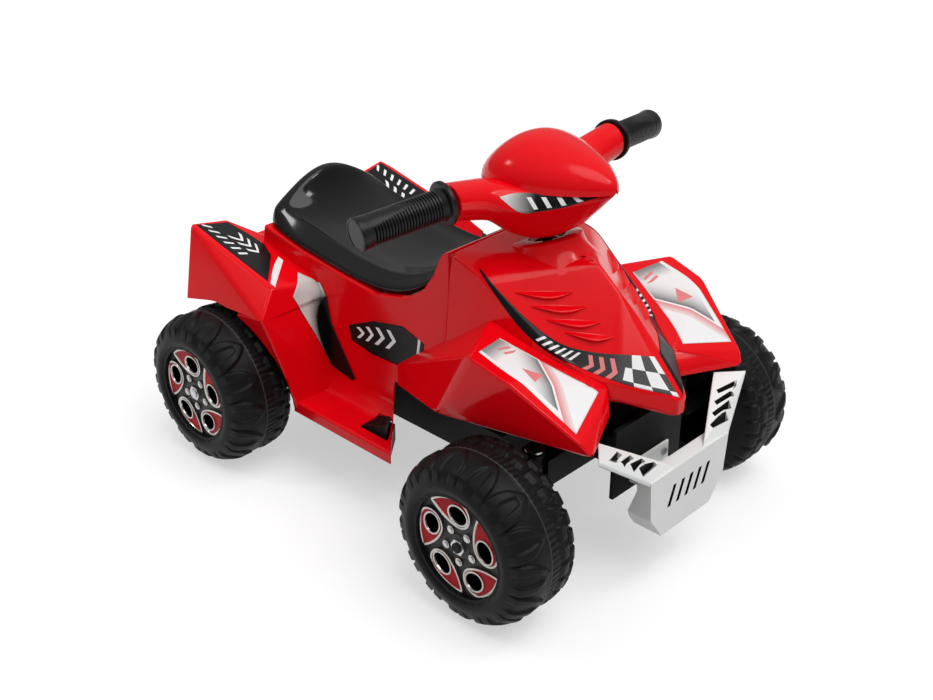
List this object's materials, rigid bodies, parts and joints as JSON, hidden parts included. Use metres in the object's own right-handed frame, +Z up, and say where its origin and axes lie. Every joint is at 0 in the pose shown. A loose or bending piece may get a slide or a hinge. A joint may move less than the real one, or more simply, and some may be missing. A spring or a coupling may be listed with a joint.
{
  "type": "kids ride-on quad bike",
  "caption": "Battery ride-on quad bike for small children with red shells, black bucket saddle, steered front wheels, white bumper and a geared rear wheel drive.",
  "frame": {"origin": "on the ground under the middle of the bounding box", "axes": "+X forward, +Y to the rider's left, +Z up"},
  "size_m": [0.686, 0.51, 0.4726],
  "materials": {
    "red_plastic": "glossy moulded red plastic",
    "black_gloss": "glossy moulded black plastic",
    "black_plastic": "satin black plastic",
    "white_plastic": "satin white plastic",
    "grip_rubber": "soft black rubber",
    "tyre": "satin black blown tyre",
    "cap_plastic": "black plastic with red and silver print",
    "gear_plastic": "natural nylon",
    "lead_rubber": "insulated wire",
    "steel": "zinc plated steel"
  },
  "bodies": {
    "chassis": {"main_body": "red_plastic", "front_cowl": "red_plastic", "seat": "black_gloss", "chassis_frame": "black_plastic", "pedal_housing": "black_plastic", "gearbox_housing": "black_plastic", "gearbox_cover": "black_plastic", "charging_socket": "black_plastic", "pedal_switch": "black_plastic", "battery": "black_plastic", "front_bumper": "white_plastic", "column_upper_bush": "gear_plastic", "column_lower_bush": "gear_plastic", "kingpin_bushes": "gear_plastic", "switch_lead": "lead_rubber", "motor_lead": "lead_rubber", "return_lead": "lead_rubber", "rear_axle": "steel", "battery_strap": "steel", "gear_pin": "steel", "motor": "steel", "pedal_pin": "steel", "pedal_spring": "steel", "body_screws": "steel", "seat_screws": "steel", "bumper_screws": "steel", "gearbox_screws": "steel", "rear_left_axle_nut": "steel", "rear_right_axle_nut": "steel"},
    "handlebar": {"steering_column": "steel", "cross_bolt": "steel", "handlebar_lower_cover": "red_plastic", "handlebar_upper_cover": "red_plastic", "handlebar_screws": "steel", "left_grip": "grip_rubber", "right_grip": "grip_rubber"},
    "left_knuckle": {"left_knuckle": "steel", "left_knuckle_clips": "steel", "front_left_axle_nut": "steel"},
    "right_knuckle": {"right_knuckle": "steel", "right_knuckle_clips": "steel", "front_right_axle_nut": "steel"},
    "tie_rod": {"tie_rod": "steel"},
    "front_left_wheel": {"front_left_tyre": "tyre", "front_left_rim": "black_plastic", "front_left_hub_cap": "cap_plastic"},
    "front_right_wheel": {"front_right_tyre": "tyre", "front_right_rim": "black_plastic", "front_right_hub_cap": "cap_plastic"},
    "rear_left_wheel": {"rear_left_tyre": "tyre", "rear_left_rim": "black_plastic", "rear_left_hub_cap": "cap_plastic"},
    "rear_right_wheel": {"rear_right_tyre": "tyre", "rear_right_rim": "black_plastic", "rear_right_hub_cap": "cap_plastic", "output_gear": "gear_plastic"},
    "compound_gear": {"compound_gear": "gear_plastic"},
    "motor_pinion": {"motor_pinion": "gear_plastic"},
    "accelerator_pedal": {"accelerator_pedal": "black_plastic"}
  },
  "joints": [
    {"name": "handlebar_turn", "type": "hinge", "parent": "chassis", "child": "handlebar", "pos_m": [0.13, 0, 0.332], "axis": [-0.284, 0, 0.9588], "range_deg": [-30, 30]},
    {"name": "left_knuckle_turn", "type": "hinge", "parent": "chassis", "child": "left_knuckle", "pos_m": [0.225, 0.128, 0.1], "axis": [0, 0, 1], "range_deg": [-19, 19]},
    {"name": "right_knuckle_turn", "type": "hinge", "parent": "chassis", "child": "right_knuckle", "pos_m": [0.225, -0.128, 0.1], "axis": [0, 0, 1], "range_deg": [-19, 19]},
    {"name": "tie_rod_pivot", "type": "hinge", "parent": "left_knuckle", "child": "tie_rod", "pos_m": [0.165, 0.128, 0.0806], "axis": [0, 0, 1], "range_deg": [-19, 19]},
    {"name": "front_left_spin", "type": "hinge", "parent": "left_knuckle", "child": "front_left_wheel", "pos_m": [0.225, 0.205, 0.1], "axis": [0, 1, 0], "continuous": true},
    {"name": "front_right_spin", "type": "hinge", "parent": "right_knuckle", "child": "front_right_wheel", "pos_m": [0.225, -0.205, 0.1], "axis": [0, 1, 0], "continuous": true},
    {"name": "rear_left_spin", "type": "hinge", "parent": "chassis", "child": "rear_left_wheel", "pos_m": [-0.243, 0.205, 0.1], "axis": [0, 1, 0], "continuous": true},
    {"name": "rear_right_spin", "type": "hinge", "parent": "chassis", "child": "rear_right_wheel", "pos_m": [-0.243, -0.205, 0.1], "axis": [0, 1, 0], "continuous": true},
    {"name": "compound_gear_spin", "type": "hinge", "parent": "chassis", "child": "compound_gear", "pos_m": [-0.2055, -0.105, 0.1], "axis": [0, 1, 0], "continuous": true},
    {"name": "motor_spin", "type": "hinge", "parent": "chassis", "child": "motor_pinion", "pos_m": [-0.1839, -0.1, 0.1], "axis": [0, 1, 0], "continuous": true},
    {"name": "pedal_press", "type": "hinge", "parent": "chassis", "child": "accelerator_pedal", "pos_m": [-0.023, -0.141, 0.092], "axis": [0, 1, 0], "range_deg": [0, 10], "stiffness_Nm_per_rad": 1.5, "springref_deg": -6.88, "deforming": ["pedal_spring"]}
  ],
  "couplings": [
    {"joint": "left_knuckle_turn", "follows": "handlebar_turn", "ratio": 0.62},
    {"joint": "right_knuckle_turn", "follows": "handlebar_turn", "ratio": 0.62},
    {"joint": "tie_rod_pivot", "follows": "handlebar_turn", "ratio": -0.62},
    {"joint": "compound_gear_spin", "follows": "rear_right_spin", "ratio": -4},
    {"joint": "motor_spin", "follows": "rear_right_spin", "ratio": 14}
  ]
}
